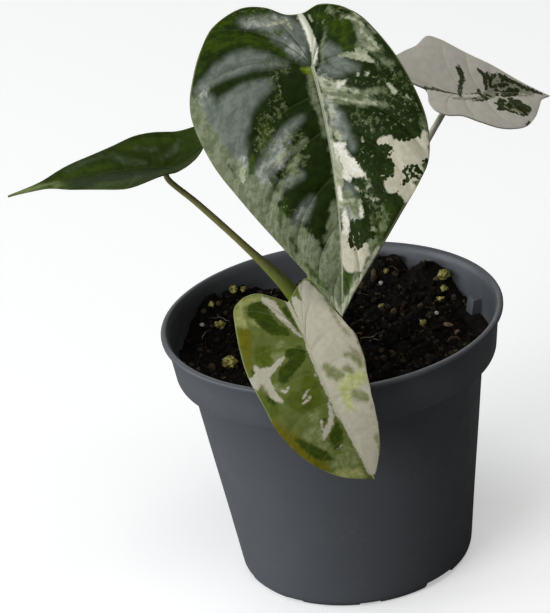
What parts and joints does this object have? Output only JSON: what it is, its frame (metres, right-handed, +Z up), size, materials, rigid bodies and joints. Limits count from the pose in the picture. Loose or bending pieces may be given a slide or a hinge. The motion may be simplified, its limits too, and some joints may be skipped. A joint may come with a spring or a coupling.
{
  "type": "alocasia frydek plant in a nursery pot",
  "caption": "Young variegated alocasia with arrow-shaped leaves on slim petioles, planted in peat in a round black plastic nursery pot.",
  "frame": {"origin": "on the ground, below the middle of the plant's outline seen from above", "axes": "+Z up, -Y towards the front of the pot, +X to the right of a viewer who faces the front"},
  "size_m": [0.1906, 0.1374, 0.2063],
  "materials": {
    "pot": "satin dark grey moulded polypropylene",
    "soil": "loose dark brown peat mix, matt",
    "corm": "brown fibrous corm, matt",
    "petiole_centre": "living stem, satin pale green",
    "petiole_left": "living stem, satin olive green",
    "petiole_right": "living stem, satin pale cream green",
    "petiole_front": "living stem, satin pale green",
    "blade_centre": "living leaf, velvety dark green with silver sheen, cream and sage patches",
    "blade_left": "living leaf, velvety dark green",
    "blade_right": "living leaf, satin cream with dark green marks",
    "blade_front": "living leaf, half olive green and half cream",
    "feed_lump": "crumbly yellow-green coated feed grain",
    "bark_chip": "dry bark, matt",
    "perlite": "white expanded perlite, matt"
  },
  "bodies": {
    "root": {"pot": "pot", "soil": "soil", "corm": "corm", "petiole_centre": "petiole_centre", "blade_centre": "blade_centre", "petiole_left": "petiole_left", "blade_left": "blade_left", "petiole_right": "petiole_right", "blade_right": "blade_right", "petiole_front": "petiole_front", "blade_front": "blade_front", "feed_lump_1": "feed_lump", "feed_lump_2": "feed_lump", "feed_lump_3": "feed_lump", "feed_lump_4": "feed_lump", "feed_lump_5": "feed_lump", "feed_lump_6": "feed_lump", "feed_lump_7": "feed_lump", "feed_lump_8": "feed_lump", "feed_lump_9": "feed_lump", "feed_lump_10": "feed_lump", "feed_lump_11": "feed_lump", "bark_chip_1": "bark_chip", "bark_chip_2": "bark_chip", "perlite_1": "perlite", "perlite_2": "perlite", "perlite_3": "perlite"}
  },
  "joints": []
}
